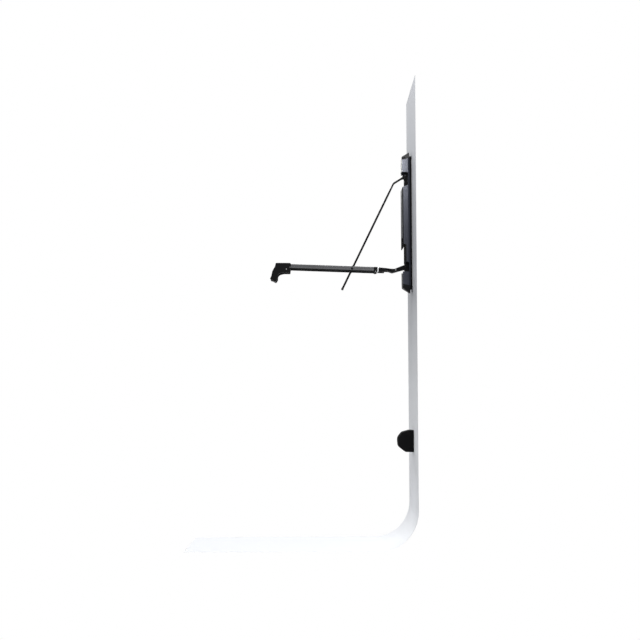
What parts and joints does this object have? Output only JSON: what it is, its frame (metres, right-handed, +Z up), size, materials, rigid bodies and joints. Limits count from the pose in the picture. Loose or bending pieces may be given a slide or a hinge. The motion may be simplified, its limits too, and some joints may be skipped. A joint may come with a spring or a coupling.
{
  "type": "folding wall bike rack",
  "caption": "Wall rack that cradles a bicycle's front wheel between a level arm and a hanging wire hoop, both of which fold flat, with a separate tyre rest below",
  "frame": {"origin": "The middle of the wall plate's back face, on the wall plane.", "axes": "+Z is up, +Y points into the wall, so the rack stands out along -Y, and +X is to the right seen from in front of the wall"},
  "size_m": [0.104, 0.6507, 1.3774],
  "materials": {
    "housing_satin": "satin graphite coat, soft sheen",
    "cap_plastic": "fine spark texture, matt",
    "black_steel": "fine textured black powder coat",
    "bare_steel": "zinc plated, fine turning marks",
    "grey_aluminium": "satin grey anodised with fine lengthwise draw lines",
    "bright_aluminium": "bright turned",
    "black_moulding": "matt moulded black nylon with a fine grain",
    "black_rubber": "matt rubber",
    "wire_coat": "smooth black dipped coat, low sheen"
  },
  "bodies": {
    "wall_side": {"wall_plate": "black_steel", "wall_screw_1": "bare_steel", "wall_screw_2": "bare_steel", "wall_screw_3": "bare_steel", "wall_screw_4": "bare_steel", "body_screw_1": "bare_steel", "body_screw_2": "bare_steel", "body_screw_3": "bare_steel", "body_screw_4": "bare_steel", "housing": "housing_satin", "top_cap": "cap_plastic", "bottom_cap": "cap_plastic", "spine": "black_steel", "front_cover": "cap_plastic", "window_trim_right": "black_moulding", "window_trim_left": "black_moulding", "lower_hinge_pin": "black_steel", "lower_pin_clip": "black_steel", "lower_hinge_washer_right": "bright_aluminium", "lower_hinge_washer_left": "bright_aluminium", "arm_stop_block": "black_rubber", "upper_hinge_axle": "black_steel", "fold_pad_right": "black_rubber", "fold_pad_left": "black_rubber", "tyre_rest": "black_moulding", "tyre_rest_pad": "black_rubber", "tyre_rest_screw_1": "bare_steel", "tyre_rest_screw_2": "bare_steel"},
    "lower_arm": {"arm_hinge_link": "black_steel", "link_screw_right": "bare_steel", "link_screw_left": "bare_steel", "arm_yoke": "black_moulding", "arm_spacer_right": "bright_aluminium", "arm_spacer_left": "bright_aluminium", "bar_end_plug_right": "black_moulding", "bar_end_plug_left": "black_moulding", "end_plug_screw_right": "bare_steel", "end_plug_screw_left": "bare_steel", "arm_bar_right": "grey_aluminium", "arm_bar_left": "grey_aluminium", "guide_bolt_right": "black_steel", "guide_bolt_left": "black_steel", "guide_plate_right": "black_moulding", "guide_plate_left": "black_moulding", "wheel_cradle": "black_moulding", "cradle_pad": "black_rubber", "cradle_screw_right": "bare_steel", "cradle_screw_left": "bare_steel"},
    "upper_arm": {"wheel_hoop": "wire_coat", "hoop_sleeve": "black_rubber", "hoop_knuckle_right": "black_moulding", "hoop_knuckle_left": "black_moulding"}
  },
  "joints": [
    {"name": "lower_arm_fold", "type": "hinge", "parent": "wall_side", "child": "lower_arm", "pos_m": [0, -0.024, -0.203], "axis": [-1, 0, 0], "range_deg": [0, 87.6]},
    {"name": "upper_arm_fold", "type": "hinge", "parent": "wall_side", "child": "upper_arm", "pos_m": [0, -0.029, 0.2155], "axis": [1, 0, 0], "range_deg": [0, 25.5]}
  ],
  "couplings": [
    {"joint": "upper_arm_fold", "follows": "lower_arm_fold", "ratio": 0.2909}
  ]
}
